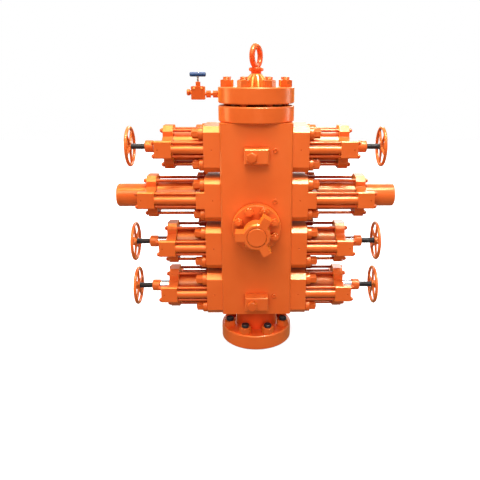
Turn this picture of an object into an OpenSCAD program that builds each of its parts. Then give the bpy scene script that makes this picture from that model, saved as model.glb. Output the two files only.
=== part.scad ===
// Coiled tubing blowout preventer: four-row ram body with eight hydraulic
// actuators, a studded top with blind flange, a flanged base and a side outlet.
// Millimetres. Origin at the centre of the raised face under the bottom flange,
// +Z up, the side outlet facing -Y, the actuators along +X and -X.

/* [Ram body] */
// Width of the body block between the bonnets
body_w = 297; // [260:1:340]
// Depth of the body block, front to back
body_d = 250; // [230:1:290]
// Edge chamfer of the body block
body_chamfer = 6; // [2:1:10]
// Diameter of the vertical bore for the tubing
bore_d = 103.2; // [70:0.1:110]

/* [Ram rows] */
// How far the lowest bonnets reach below the base of the block
row_drop = 8; // [-20:0.5:20]
// Gap between the bonnets of neighbouring rows
row_gap = 23.5; // [8:0.5:60]
// Gap between the highest bonnets and the top flange
row_top_gap = 13.5; // [6:0.5:60]

/* [Main flanges] */
// Outside diameter of the top, blind and bottom flanges
flange_d = 316; // [300:1:340]
// Thickness of a flange plate without its raised face
flange_t = 65.8; // [52:0.1:80]
// Height of the raised face
face_h = 4.5; // [3:0.1:12]
// Chamfer on the rims of the flanges
rim_chamfer = 4; // [1:0.5:6]
// Width of the raised face outside its ring groove
face_rim = 17.2; // [10:0.1:22]
// Bolt circle of the main flanges
flange_pcd = 258.8; // [250:0.1:262]
// Diameter of the main studs
stud_d = 28.6; // [22:0.1:30]
// Clearance of the studs in their holes, on the diameter
stud_clear = 3.15; // [1:0.05:5]
// Width of the heavy nuts across their flats
nut_af = 46; // [40:0.5:48]
// Height of the heavy nuts
nut_h = 28.2; // [22:0.1:34]
// Length of stud that stands out beyond its nut
stud_over = 11; // [4:1:20]
// Outside diameter of the neck above the bottom flange
neck_d = 182; // [170:1:188]
// Height of the neck between the bottom flange and the block
neck_h = 91.7; // [80:0.1:120]

/* [Ring groove] */
// Width of the land between the bore and the ring groove
groove_land = 6.8; // [4:0.1:10]
// Width of the ring groove
groove_w = 16.9; // [10:0.1:18]
// Depth of the ring groove
groove_depth = 8.33; // [5:0.01:12]

/* [Lifting eye] */
// Outside diameter of the eye ring
eye_d = 104; // [96:1:120]
// Diameter of the round section of the ring
eye_bar_d = 23; // [20:1:28]
// Angle that the ring is turned from facing the front
eye_turn = 65.6; // [0:0.1:90]
// Diameter of the collar under the ring
eye_collar_d = 60; // [54:1:70]
// Height of the ribbed boss that carries the eye
eye_boss_h = 51.5; // [44:0.5:70]
// Diameter of the post inside the boss
eye_post_d = 44; // [38:1:48]
// Reach of the boss's ribs from its middle
rib_reach = 52; // [40:1:64]
// Thickness of a rib
rib_t = 7; // [4:0.5:9]
// Number of ribs
rib_count = 12; // [4:1:12]

/* [Bonnets] */
// Thickness of a bonnet, away from the block
bonnet_t = 67; // [56:1:80]
// Depth of a bonnet, front to back
bonnet_d = 230; // [222:1:240]
// Height of a bonnet
bonnet_h = 188; // [184:1:194]
// Chamfer of a bonnet's long edges
bonnet_chamfer = 23; // [16:1:26]
// Distance of the bonnet nuts from the front and back of the bonnet
bonnet_nut_in_y = 30; // [28:0.5:34]
// Distance of the bonnet nuts from the top and bottom of the bonnet
bonnet_nut_in_z = 30.5; // [28:0.5:31]
// Width of the bonnet nuts across their flats
bonnet_nut_af = 36; // [30:1:38]
// Height of the bonnet nuts
bonnet_nut_h = 26; // [20:1:32]
// Diameter of the bonnet studs
bonnet_stud_d = 22; // [18:1:24]
// Length of bonnet stud that stands out beyond its nut
bonnet_stud_over = 3; // [2:1:8]
// Diameter of the collar under each bonnet nut
bonnet_washer_d = 52; // [46:1:53]
// Thickness of the collar under each bonnet nut
bonnet_washer_t = 20; // [12:1:24]
// How far the shear bonnets' middle stands out beyond the others
shear_step = 36; // [28:1:44]

/* [Actuators] */
// Length of the ram cylinders
cylinder_l = 130; // [120:1:150]
// Length of the longer shear ram cylinders
shear_cylinder_l = 173; // [160:1:190]
// Outside diameter of the ram cylinders
cylinder_d = 124; // [112:1:128]
// Wall of the ram cylinders
cylinder_wall = 12; // [8:1:20]
// Diameter of the tie rods
rod_d = 13; // [10:0.5:14]
// Radial gap between a rod, stud or stem and its hole
rod_gap = 0.3; // [0.2:0.05:0.6]
// Gap between the ram cylinder and the upper and lower tie rods
rod_room = 12; // [4:0.5:20]
// Angle of the upper and lower tie rods from the level plane
rod_angle = 61.8; // [56:0.1:66]
// Gap between a transfer tube and the tie rods above and below it
rod_tube_gap = 4; // [1:0.5:8]
// Diameter of the round nuts on the tie rods
rod_nut_d = 20; // [17:0.5:22]
// Height of the round nuts on the tie rods
rod_nut_h = 12; // [8:1:18]
// Diameter of the transfer tubes
transfer_d = 34; // [26:1:36]

/* [End caps] */
// Thickness of an end cap
cap_t = 41; // [34:1:50]
// Height of an end cap's level arm beyond the middles of its tie rods
cap_arm_land = 8; // [8:0.5:14]
// Width of an end cap's upright arm beyond the middles of its tie rods
cap_side_land = 14; // [13:0.5:20]
// Height of an end cap's upright arm beyond the middles of its tie rods
cap_end_land = 19; // [18:0.5:26]
// Chamfer of the upright arm
cap_chamfer = 22; // [14:1:24]
// Length of the port block on the front of an end cap, beyond the cap
port_bar_l = 28; // [20:1:36]
// Depth of the port block, front to back
port_bar_d = 30; // [27:1:32]
// Length of the tail cylinder on a shear actuator
tail_l = 134; // [110:1:160]
// Diameter of the tail cylinder
tail_d = 100; // [80:1:110]

/* [Manual locks] */
// Diameter of the polished guide sleeve
sleeve_d = 46; // [40:1:50]
// Length of the polished guide sleeve
sleeve_l = 48; // [40:1:60]
// Diameter of the threaded lock collar
collar_d = 51; // [46:1:60]
// Length of the threaded lock collar
collar_l = 36; // [28:1:44]
// Diameter of the lock screw
screw_d = 25; // [20:1:28]
// Length of lock screw inside the collar and sleeve
screw_in = 70; // [50:1:76]
// Travel of the lock screw when it is run in
lock_travel = 45; // [20:1:50]
// Gap between the collar and the handwheel's hub when the lock is run in
wheel_clear = 13; // [5:0.5:20]
// Outside diameter of the handwheels
wheel_d = 172; // [140:1:180]
// Diameter of the round section of a handwheel rim
wheel_rim_d = 14; // [10:1:18]
// Diameter of a handwheel hub
hub_d = 36; // [32:1:44]
// Length of a handwheel hub
hub_l = 26; // [18:1:30]
// Reach of the hub inwards from the middle of the rim
hub_in = 7; // [4:0.5:13]
// Number of handwheel spokes
spokes = 5; // [3:1:6]
// Diameter of a handwheel spoke
spoke_d = 10; // [8:1:14]

/* [Side outlet] */
// Outside diameter of the side flange
side_d = 200; // [190:1:206]
// Thickness of the side flange
side_t = 44; // [34:1:56]
// Bolt circle of the side flange
side_pcd = 158.8; // [154:0.1:162]
// Diameter of the side studs
side_stud_d = 19.05; // [16:0.05:20]
// Width of the side nuts across their flats
side_nut_af = 31.75; // [28:0.25:32]
// Height of the side nuts
side_nut_h = 18.7; // [14:0.1:24]
// Length of side stud that stands out beyond its nut
side_stud_over = 5; // [3:1:12]
// Bore of the side outlet
side_bore_d = 52.4; // [40:0.1:54]
// Distance from the side flange to the outer face of the union plug
union_l = 117; // [110:1:160]
// Diameter of the union hub next to the side flange
union_hub_d = 80; // [76:1:86]
// Outside diameter of the wing nut's round part
wing_d = 108; // [102:1:112]
// Length of the wing nut along its thread
wing_l = 72; // [60:1:76]
// Reach of the wing nut's lugs from its axis
wing_reach = 84; // [72:1:92]
// Width of a wing nut lug
lug_w = 34; // [24:1:36]
// Diameter of the union plug's exposed face
plug_d = 75; // [66:1:76]

/* [Front port blocks] */
// Width of a port block
block_w = 99; // [90:1:110]
// Height of a port block
block_h = 63; // [56:1:68]
// Depth of a port block
block_d = 50; // [36:1:56]
// Chamfer of a port block's front edges
block_chamfer = 5; // [1:0.5:8]
// Distance of a port block's centre below its ram row
block_drop = 19; // [16:0.5:24]

/* [Needle valve] */
// Length of the valve body along its pipe axis
valve_l = 56; // [48:1:64]
// Height of the valve body
valve_h = 54; // [46:1:58]
// Depth of the valve body, front to back
valve_d = 36; // [34:1:46]
// Distance from the blind flange's rim to the valve body
valve_reach = 54; // [50:1:70]
// Depth of the valve's pipe axis below the top of the blind flange
valve_drop = 31; // [28:0.5:40]
// Length of the tee handle
tee_l = 66; // [50:1:80]
// Diameter of the tee handle bar
tee_d = 18; // [12:1:20]
// Length of valve stem above the gland
valve_stem_out = 20; // [14:1:30]

/* [Hidden] */
$fn = 64;
NUDGE = 1; // how far a cut runs past the face it leaves
thread_gap = 0.1; // radial gap between a stud and its thread

ENAMEL = "#e0602c";
BLACK = "#2a2c2e";
STEEL = "#b9bcc0";
BLUE = "#1f4a7c";

bolt_count = 8;
bolt_start = 180 / bolt_count;
stud_hole_d = stud_d + stud_clear;
groove_pcd = bore_d + 2 * groove_land + groove_w;
face_d = groove_pcd + groove_w + 2 * face_rim;

// places on a bonnet and its end cap, about the ram axis
bonnet_nut_y = bonnet_d / 2 - bonnet_nut_in_y;
bonnet_nut_z = bonnet_h / 2 - bonnet_nut_in_z;
rod_circle_r = cylinder_d / 2 + rod_room + rod_d / 2;
rod_in_y = rod_circle_r * cos(rod_angle);
rod_in_z = rod_circle_r * sin(rod_angle);
rod_out_y = bonnet_d / 2 - port_bar_d / 2;
rod_out_z = transfer_d / 2 + rod_tube_gap + rod_d / 2;
cap_d = bonnet_d;
cap_arm_h = 2 * (rod_out_z + cap_arm_land);
cap_up_w = 2 * (rod_in_y + cap_side_land);
cap_up_h = 2 * (rod_in_z + cap_end_land);

// heights, from the base upwards
bottom_plate_top = face_h + flange_t;
body_z0 = bottom_plate_top + neck_h;
row_count = 4;
row_pitch = bonnet_h + row_gap;
row_low = bonnet_h / 2 - row_drop;
body_h = row_low + (row_count - 1) * row_pitch + bonnet_h / 2 + row_top_gap;
body_z1 = body_z0 + body_h;
top_plate_top = body_z1 + flange_t;
joint_z = top_plate_top + face_h;
blind_z0 = joint_z + face_h;
blind_z1 = blind_z0 + flange_t;
eye_base_z = blind_z1 + eye_boss_h;
shear_row = 2;
lock_rows = [1, 3, 4];
all_rows = [1, 2, 3, 4];
sides = [-1, 1];

// stations along X, from the body outwards
function row_z(row) = body_z0 + row_low + row_pitch * (row_count - row);
function is_shear(row) = row == shear_row;
bonnet_x0 = body_w / 2;
bonnet_x1 = bonnet_x0 + bonnet_t;
function seat_x(row) = bonnet_x1 + (is_shear(row) ? shear_step : 0);
function cap_x(row) = seat_x(row) + (is_shear(row) ? shear_cylinder_l : cylinder_l);
function cap_x1(row) = cap_x(row) + cap_t;
function bar_x1(row) = cap_x1(row) + port_bar_l;
collar_x0 = cap_x1(1) + sleeve_l;
collar_x1 = collar_x0 + collar_l;
wheel_x = collar_x1 + lock_travel + wheel_clear + hub_in;
screw_x0 = collar_x1 - screw_in;
screw_x1 = wheel_x + hub_l - hub_in + 4;

// stations along -Y, from the body outwards
front_y = -body_d / 2;
side_face_y = front_y - side_t;
side_z = (row_z(2) + row_z(3)) / 2; // level with the gap between the middle rows
union_face_y = side_face_y - union_l;
wing_y1 = union_face_y + 3;
wing_y0 = wing_y1 + wing_l;
wing_lip = 6; // thickness of the wing nut in front of its plug's shoulder
plug_shoulder = 12;
thread_r = wing_d / 2 - 9;

// stations along the valve's pipe axis
valve_z = blind_z1 - valve_drop;
rim_x = -flange_d / 2;
spot_depth = 3;
spot_d = 32;
valve_x1 = rim_x - valve_reach;
valve_x0 = valve_x1 - valve_l;
valve_mid_x = (valve_x0 + valve_x1) / 2;
gland_h = 18;
valve_top_z = valve_z + valve_h * 0.59;
tee_z = valve_top_z + gland_h + valve_stem_out + tee_d / 2;
valve_stem_d = 8;

// ---- helpers ----

// puts a shape drawn in Y and Z at a station on X, thickening outwards
module along_x(x) {
    translate([x, 0, 0]) rotate([90, 0, 90]) children();
}

// puts a shape drawn about Z on the axis that runs to the front, at a station on Y
module along_front(y, z) {
    translate([0, y, z]) rotate([90, 0, 0]) children();
}

// the piece and its mirror image on the other side
module both_sides() {
    for (side = sides) scale_side(side) children();
}

module scale_side(side) {
    if (side < 0) mirror([1, 0, 0]) children();
    else children();
}

module ring_of(count, radius, start) {
    for (i = [0 : count - 1])
        rotate([0, 0, start + 360 * i / count]) translate([radius, 0, 0]) children();
}

// a hexagon given by its width across flats
module hexagon(af) {
    circle(d = af / cos(30), $fn = 6);
}

module chamfered_rect(w, h, c) {
    polygon([[w / 2 - c, -h / 2], [w / 2, -h / 2 + c], [w / 2, h / 2 - c], [w / 2 - c, h / 2],
        [-w / 2 + c, h / 2], [-w / 2, h / 2 - c], [-w / 2, -h / 2 + c], [-w / 2 + c, -h / 2]]);
}

// a turned disc with small chamfers on both rims
module disc(d, h, c) {
    rotate_extrude($fn = 96)
        polygon([[0, 0], [d / 2 - c, 0], [d / 2, c], [d / 2, h - c], [d / 2 - c, h], [0, h]]);
}

// a hexagonal head with its top corners turned off
module hex_head(af, h) {
    intersection() {
        linear_extrude(h) hexagon(af);
        rotate_extrude($fn = 48)
            polygon([[0, 0], [af * 0.6, 0], [af * 0.6, h - af * 0.08], [af * 0.48, h], [0, h]]);
    }
}

// a heavy hex nut bored for its stud or stem
module heavy_nut(af, h, hole) {
    difference() {
        hex_head(af, h);
        translate([0, 0, -NUDGE]) cylinder(d = hole, h = h + 2 * NUDGE, $fn = 32);
    }
}

// ---- body and flanges ----

module body_block() {
    color(ENAMEL) difference() {
        translate([0, 0, body_z0]) linear_extrude(body_h)
            chamfered_rect(body_w, body_d, body_chamfer);
        translate([0, 0, body_z0 - NUDGE])
            cylinder(d = bore_d, h = body_h + 2 * NUDGE, $fn = 96);
        along_front(0, side_z) cylinder(d = side_bore_d, h = body_d);
    }
}

module ring_groove(z) {
    translate([0, 0, z]) rotate_extrude($fn = 96)
        translate([groove_pcd / 2 - groove_w / 2, 0]) square([groove_w, groove_depth + NUDGE]);
}

module flange_holes(z, h) {
    translate([0, 0, z]) ring_of(bolt_count, flange_pcd / 2, bolt_start)
        cylinder(d = stud_hole_d, h = h, $fn = 32);
}

module bottom_flange() {
    color(ENAMEL) difference() {
        union() {
            cylinder(d = face_d, h = face_h, $fn = 96);
            translate([0, 0, face_h]) disc(flange_d, flange_t, rim_chamfer);
            translate([0, 0, bottom_plate_top]) cylinder(d = neck_d, h = neck_h, $fn = 96);
        }
        translate([0, 0, -NUDGE]) cylinder(d = bore_d, h = body_z0 + 2 * NUDGE, $fn = 96);
        flange_holes(face_h - NUDGE, flange_t + 2 * NUDGE);
        ring_groove(-NUDGE);
    }
}

// studs end level with the underside of the flange plate
module bottom_studs() {
    color(BLACK) translate([0, 0, face_h]) ring_of(bolt_count, flange_pcd / 2, bolt_start)
        cylinder(d = stud_d, h = flange_t + nut_h + stud_over, $fn = 32);
}

module bottom_nuts() {
    color(ENAMEL) translate([0, 0, bottom_plate_top])
        ring_of(bolt_count, flange_pcd / 2, bolt_start)
            heavy_nut(nut_af, nut_h, stud_d + 2 * thread_gap);
}

// the studded top of the block
tapped_depth = flange_t * 0.75;
module top_flange() {
    color(ENAMEL) difference() {
        union() {
            translate([0, 0, body_z1]) disc(flange_d, flange_t, rim_chamfer);
            translate([0, 0, top_plate_top]) cylinder(d = face_d, h = face_h, $fn = 96);
        }
        translate([0, 0, body_z1 - NUDGE])
            cylinder(d = bore_d, h = flange_t + face_h + 2 * NUDGE, $fn = 96);
        translate([0, 0, top_plate_top - tapped_depth])
            ring_of(bolt_count, flange_pcd / 2, bolt_start)
                cylinder(d = stud_d + 2 * thread_gap, h = tapped_depth + NUDGE, $fn = 32);
        ring_groove(joint_z - groove_depth);
    }
}

module blind_flange() {
    color(ENAMEL) difference() {
        union() {
            translate([0, 0, joint_z]) cylinder(d = face_d, h = face_h, $fn = 96);
            translate([0, 0, blind_z0]) disc(flange_d, flange_t, rim_chamfer);
        }
        flange_holes(blind_z0 - NUDGE, flange_t + 2 * NUDGE);
        translate([rim_x - NUDGE, 0, valve_z]) rotate([0, 90, 0])
            cylinder(d = spot_d, h = spot_depth + NUDGE);
    }
}

module top_studs() {
    foot = top_plate_top - tapped_depth;
    color(ENAMEL) translate([0, 0, foot]) ring_of(bolt_count, flange_pcd / 2, bolt_start)
        cylinder(d = stud_d, h = blind_z1 + nut_h + stud_over - foot, $fn = 32);
}

module top_nuts() {
    color(ENAMEL) translate([0, 0, blind_z1]) ring_of(bolt_count, flange_pcd / 2, bolt_start)
        heavy_nut(nut_af, nut_h, stud_d + 2 * thread_gap);
}

// ---- lifting eye ----

rib_start = 10; // angle of the first rib
// a round post held by ribs with their upper corners cut off
module eye_boss() {
    post_r = eye_post_d / 2;
    cut = rib_reach * 0.38; // height and width of the cut corner
    color(ENAMEL) translate([0, 0, blind_z1]) {
        cylinder(d = eye_post_d, h = eye_boss_h);
        ring_of(rib_count, 0, rib_start) rotate([90, 0, 0]) translate([0, 0, -rib_t / 2])
            linear_extrude(rib_t) polygon([[0, 0], [rib_reach, 0],
                [post_r + cut, eye_boss_h - cut],
                [post_r + 2, eye_boss_h - 2], [0, eye_boss_h - 2]]);
    }
}

module lifting_eye() {
    shank_h = 9;
    collar_h = 16;
    sunk = 8; // how far the ring is forged into its collar
    ring_r = (eye_d - eye_bar_d) / 2;
    ring_z = shank_h + collar_h + eye_d / 2 - sunk;
    color(ENAMEL) translate([0, 0, eye_base_z]) {
        cylinder(d = eye_post_d - 2, h = shank_h + NUDGE);
        translate([0, 0, shank_h]) disc(eye_collar_d, collar_h, 4);
        translate([0, 0, ring_z]) rotate([0, 0, eye_turn]) rotate([90, 0, 0])
            rotate_extrude($fn = 64) translate([ring_r, 0]) circle(d = eye_bar_d, $fn = 32);
    }
}

// ---- side outlet and union ----

module side_flange() {
    color(ENAMEL) along_front(front_y, side_z) difference() {
        disc(side_d, side_t, 2);
        translate([0, 0, -NUDGE]) cylinder(d = side_bore_d, h = side_t + 2 * NUDGE);
    }
}

// studs and nuts on the side flange, one piece each as they are tightened
module side_studs() {
    color(ENAMEL) along_front(side_face_y, side_z)
        ring_of(bolt_count, side_pcd / 2, bolt_start) {
            hex_head(side_nut_af, side_nut_h);
            cylinder(d = side_stud_d, h = side_nut_h + side_stud_over, $fn = 32);
        }
}

module union_hub() {
    hub_len = side_face_y - wing_y0;
    thread_l = wing_l - wing_lip - plug_shoulder;
    color(ENAMEL) along_front(side_face_y, side_z) difference() {
        union() {
            cylinder(d = union_hub_d, h = hub_len, $fn = 96);
            translate([0, 0, hub_len]) cylinder(r = thread_r - rod_gap, h = thread_l, $fn = 96);
        }
        translate([0, 0, -NUDGE])
            cylinder(d = side_bore_d, h = hub_len + thread_l + 2 * NUDGE);
    }
}

// a hammer nut with three lugs
module wing_nut() {
    lug_foot = thread_r + 3;
    lug_start = 11;
    color(ENAMEL) along_front(wing_y0, side_z) difference() {
        union() {
            disc(wing_d, wing_l, 5);
            ring_of(3, 0, 60) translate([lug_foot, -lug_w / 2, lug_start])
                cube([wing_reach - lug_foot, lug_w, wing_l - lug_start]);
        }
        translate([0, 0, -NUDGE])
            cylinder(r = thread_r, h = wing_l - wing_lip + NUDGE, $fn = 96);
        cylinder(d = plug_d + 4, h = wing_l + NUDGE, $fn = 96);
    }
}

module union_plug() {
    shoulder_y = wing_y1 + wing_lip + plug_shoulder;
    color(ENAMEL) along_front(shoulder_y, side_z) {
        cylinder(r = thread_r - rod_gap, h = plug_shoulder, $fn = 96);
        cylinder(d = plug_d, h = shoulder_y - union_face_y, $fn = 96);
    }
}

// ---- port blocks on the front ----

// a block with its front edges chamfered
module port_block(row) {
    x = block_w / 2;
    z = block_h / 2;
    c = block_chamfer;
    color(ENAMEL) translate([0, front_y, row_z(row) - block_drop]) intersection() {
        translate([0, 0, -z]) linear_extrude(block_h) polygon([
            [-x, 0], [-x, c - block_d], [c - x, -block_d],
            [x - c, -block_d], [x, c - block_d], [x, 0]]);
        rotate([90, 0, 90]) linear_extrude(block_w, center = true) polygon([
            [0, -z], [c - block_d, -z], [-block_d, c - z],
            [-block_d, z - c], [c - block_d, z], [0, z]]);
    }
}

module upper_port_block() port_block(1);
module lower_port_block() port_block(4);

block_plug_x = -19;
side_plug_x = 77;
// a hexagonal plug above, a round plug below, and a small plug beside three of the rows
module port_plugs() {
    color(ENAMEL) {
        translate([block_plug_x, front_y - block_d, row_z(1) - block_drop - 2])
            rotate([90, 0, 0]) rotate([0, 0, 30]) hex_head(41, 14);
        translate([block_plug_x, front_y - block_d, row_z(4) - block_drop - 2])
            rotate([90, 0, 0]) disc(41, 20, 2);
        for (row = [1, 2, 4])
            translate([side_plug_x, front_y, row_z(row)]) rotate([90, 0, 0]) disc(21, 6, 2);
    }
}

// ---- bonnets ----

screw_dot_d = 7;
screw_dot_depth = 4;

module bonnet(row) {
    dot_x = (bonnet_x0 + bonnet_x1) / 2;
    translate([0, 0, row_z(row)]) difference() {
        union() {
            along_x(bonnet_x0) linear_extrude(bonnet_t)
                chamfered_rect(bonnet_d, bonnet_h, bonnet_chamfer);
            if (is_shear(row)) {
                along_x(bonnet_x1) linear_extrude(shear_step)
                    chamfered_rect(bonnet_d, 2 * bonnet_nut_z - bonnet_washer_d - 2, 3);
                along_x(bonnet_x1) cylinder(d = cylinder_d, h = shear_step, $fn = 96);
            }
        }
        translate([dot_x, -bonnet_d / 2 + screw_dot_depth, 0]) rotate([90, 0, 0])
            cylinder(d = screw_dot_d, h = screw_dot_depth + NUDGE, $fn = 24);
    }
}

module bonnets(row) {
    color(ENAMEL) both_sides() bonnet(row);
}

// collar, nut and stud end at each of a bonnet's four corners
module bonnet_nuts() {
    color(ENAMEL) both_sides() for (row = all_rows, y = sides, z = sides)
        translate([bonnet_x1, y * bonnet_nut_y, row_z(row) + z * bonnet_nut_z])
            rotate([0, 90, 0]) {
                disc(bonnet_washer_d, bonnet_washer_t, 2);
                translate([0, 0, bonnet_washer_t]) hex_head(bonnet_nut_af, bonnet_nut_h);
                disc(bonnet_stud_d, bonnet_washer_t + bonnet_nut_h + bonnet_stud_over, 1.5);
            }
}

// ---- actuators ----

module ram_cylinders() {
    color(ENAMEL) both_sides() for (row = all_rows) translate([0, 0, row_z(row)])
        along_x(seat_x(row)) difference() {
            cylinder(d = cylinder_d, h = cap_x(row) - seat_x(row), $fn = 96);
            translate([0, 0, -NUDGE]) cylinder(d = cylinder_d - 2 * cylinder_wall,
                h = cap_x(row) - seat_x(row) + 2 * NUDGE, $fn = 96);
        }
}

module transfer_tubes() {
    color(ENAMEL) both_sides() for (row = all_rows, y = sides)
        translate([0, y * rod_out_y, row_z(row)]) along_x(seat_x(row))
            cylinder(d = transfer_d, h = cap_x(row) - seat_x(row));
}

// one tie rod with its round nut, from a foot to the outer face of what it clamps
module tie_rod(x0, x1) {
    along_x(x0) cylinder(d = rod_d, h = x1 + rod_nut_h - x0, $fn = 32);
    along_x(x1) disc(rod_nut_d, rod_nut_h - 4, 2);
}

module tie_rods() {
    color(ENAMEL) both_sides() for (row = all_rows) translate([0, 0, row_z(row)])
        for (y = sides, z = sides) {
            translate([0, y * rod_in_y, z * rod_in_z]) tie_rod(bonnet_x1, cap_x1(row));
            translate([0, y * rod_out_y, z * rod_out_z])
                tie_rod(seat_x(row), y < 0 ? bar_x1(row) : cap_x1(row));
        }
}

// ---- end caps ----

module cap_outline() {
    y0 = cap_d / 2;
    z0 = cap_arm_h / 2;
    y1 = cap_up_w / 2;
    z1 = cap_up_h / 2;
    edge = 4;
    blend_y = 24;
    blend_z = 12;
    quarter = [[y0, z0 - edge], [y0 - edge, z0], [y1 + blend_y, z0], [y1, z0 + blend_z],
        [y1, z1 - cap_chamfer], [y1 - cap_chamfer, z1]];
    back = [for (i = [len(quarter) - 1 : -1 : 0]) quarter[i]];
    polygon(concat(
        quarter,
        [for (p = back) [-p[0], p[1]]],
        [for (p = quarter) [-p[0], -p[1]]],
        [for (p = back) [p[0], -p[1]]]));
}

// a cross-shaped cap with the port block on its front arm, drilled for the tie rods
module end_cap(row) {
    bar_y = -cap_d / 2 + port_bar_d / 2;
    hole_d = rod_d + 2 * rod_gap;
    reach = bar_x1(row) - cap_x(row) + 2 * NUDGE;
    translate([0, 0, row_z(row)]) difference() {
        union() {
            along_x(cap_x(row)) linear_extrude(cap_t) cap_outline();
            along_x(cap_x(row)) translate([bar_y, 0]) linear_extrude(cap_t + port_bar_l)
                chamfered_rect(port_bar_d, cap_arm_h, 4);
        }
        for (y = sides, z = sides) {
            translate([0, y * rod_in_y, z * rod_in_z]) along_x(cap_x(row) - NUDGE)
                cylinder(d = hole_d, h = reach, $fn = 32);
            translate([0, y * rod_out_y, z * rod_out_z]) along_x(cap_x(row) - NUDGE)
                cylinder(d = hole_d, h = reach, $fn = 32);
        }
        if (!is_shear(row)) along_x(cap_x(row) - NUDGE)
            cylinder(d = screw_d + 2 * rod_gap, h = cap_t + 2 * NUDGE);
        translate([bar_x1(row) - 14, -cap_d / 2 + screw_dot_depth, 0]) rotate([90, 0, 0])
            cylinder(d = screw_dot_d, h = screw_dot_depth + NUDGE, $fn = 24);
    }
}

module end_caps(row) {
    color(ENAMEL) both_sides() end_cap(row);
}

module tail_cylinders() {
    color(ENAMEL) both_sides() translate([0, 0, row_z(shear_row)])
        along_x(cap_x1(shear_row)) disc(tail_d, tail_l, 6);
}

// ---- manual locks ----

module lock_sleeves() {
    color(STEEL) both_sides() for (row = lock_rows) translate([0, 0, row_z(row)])
        along_x(cap_x1(row)) difference() {
            cylinder(d = sleeve_d, h = sleeve_l);
            translate([0, 0, -NUDGE])
                cylinder(d = screw_d + 2 * rod_gap, h = sleeve_l + 2 * NUDGE);
        }
}

module lock_collars() {
    color(ENAMEL) both_sides() for (row = lock_rows) translate([0, 0, row_z(row)])
        along_x(collar_x0) difference() {
            disc(collar_d, collar_l, 3);
            translate([0, 0, -NUDGE])
                cylinder(d = screw_d + 2 * rod_gap, h = collar_l + 2 * NUDGE);
        }
}

module lock_screw(side, row) {
    color(BLACK) scale_side(side) translate([0, 0, row_z(row)])
        along_x(screw_x0) disc(screw_d, screw_x1 - screw_x0, 1.5);
}

// rim, hub and spokes of one handwheel
module handwheel(side, row) {
    rim_r = (wheel_d - wheel_rim_d) / 2;
    color(ENAMEL) scale_side(side) translate([0, 0, row_z(row)])
        along_x(wheel_x) difference() {
            union() {
                rotate_extrude($fn = 96) translate([rim_r, 0])
                    circle(d = wheel_rim_d, $fn = 32);
                translate([0, 0, -hub_in]) disc(hub_d, hub_l, 1.5);
                ring_of(spokes, 0, 90) rotate([0, 90, 0])
                    cylinder(d = spoke_d, h = rim_r, $fn = 24);
            }
            translate([0, 0, -hub_l]) cylinder(d = screw_d + 2 * rod_gap, h = 2 * hub_l);
        }
}

// ---- needle valve ----

// hexagonal part on the valve's pipe axis between two stations on X
module pipe_hex(x0, x1, af) {
    translate([x0, 0, valve_z]) rotate([0, 90, 0]) linear_extrude(x1 - x0) hexagon(af);
}

waist_x1 = rim_x - 21;
waist_x0 = waist_x1 - 9;
// two hexagons joined by a thin waist, with a short neck at the valve
module valve_nipple() {
    neck_l = 5;
    color(ENAMEL) {
        pipe_hex(waist_x1, rim_x + spot_depth, 25);
        translate([valve_x1, 0, valve_z]) rotate([0, 90, 0])
            cylinder(d = 12, h = waist_x1 - valve_x1 + NUDGE, $fn = 32);
        pipe_hex(valve_x1 + neck_l, waist_x0, 25);
    }
}

module valve_body() {
    low = valve_h * 0.41;
    high = valve_top_z - valve_z;
    color(ENAMEL) translate([valve_mid_x, valve_d / 2, valve_z + (high - low) / 2])
        rotate([90, 0, 0]) linear_extrude(valve_d) chamfered_rect(valve_l, high + low, 2);
}

// a round plug on a smaller neck, a little above the pipe axis
module valve_end_plug() {
    plug_l = 19;
    rise = 7;
    color(ENAMEL) translate([valve_x0, 0, valve_z + rise]) rotate([0, -90, 0]) {
        cylinder(d = 18, h = plug_l);
        translate([0, 0, 4]) disc(26, plug_l - 4, 3);
    }
}

module valve_gland() {
    color(ENAMEL) translate([valve_mid_x, 0, valve_top_z])
        heavy_nut(17, gland_h, valve_stem_d + 2 * rod_gap);
}

module valve_stem() {
    stem_foot = valve_top_z + rod_gap;
    color(STEEL) translate([valve_mid_x, 0, stem_foot])
        cylinder(d = valve_stem_d, h = tee_z + tee_d / 2 - stem_foot, $fn = 32);
}

// a plain bar, drilled across for the stem
module tee_handle() {
    color(BLUE) difference() {
        translate([valve_mid_x - tee_l / 2, 0, tee_z]) rotate([0, 90, 0]) disc(tee_d, tee_l, 3);
        translate([valve_mid_x, 0, tee_z - tee_d])
            cylinder(d = valve_stem_d + 2 * rod_gap, h = 2 * tee_d, $fn = 32);
    }
}

// ---- the assembly ----

body_block();
bottom_flange();
bottom_studs();
bottom_nuts();
top_flange();
blind_flange();
top_studs();
top_nuts();
eye_boss();
lifting_eye();
side_flange();
side_studs();
union_hub();
wing_nut();
union_plug();
upper_port_block();
lower_port_block();
port_plugs();
for (row = all_rows)
    bonnets(row);
bonnet_nuts();
ram_cylinders();
transfer_tubes();
tie_rods();
for (row = all_rows)
    end_caps(row);
tail_cylinders();
lock_sleeves();
lock_collars();
for (side = sides, row = lock_rows) {
    place = str(side < 0 ? "left_" : "right_", row);
    lock_screw(side, row);
    handwheel(side, row);
}
valve_nipple();
valve_body();
valve_end_plug();
valve_gland();
valve_stem();
tee_handle();
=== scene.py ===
import bpy
import math
from mathutils import Matrix, Vector


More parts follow.
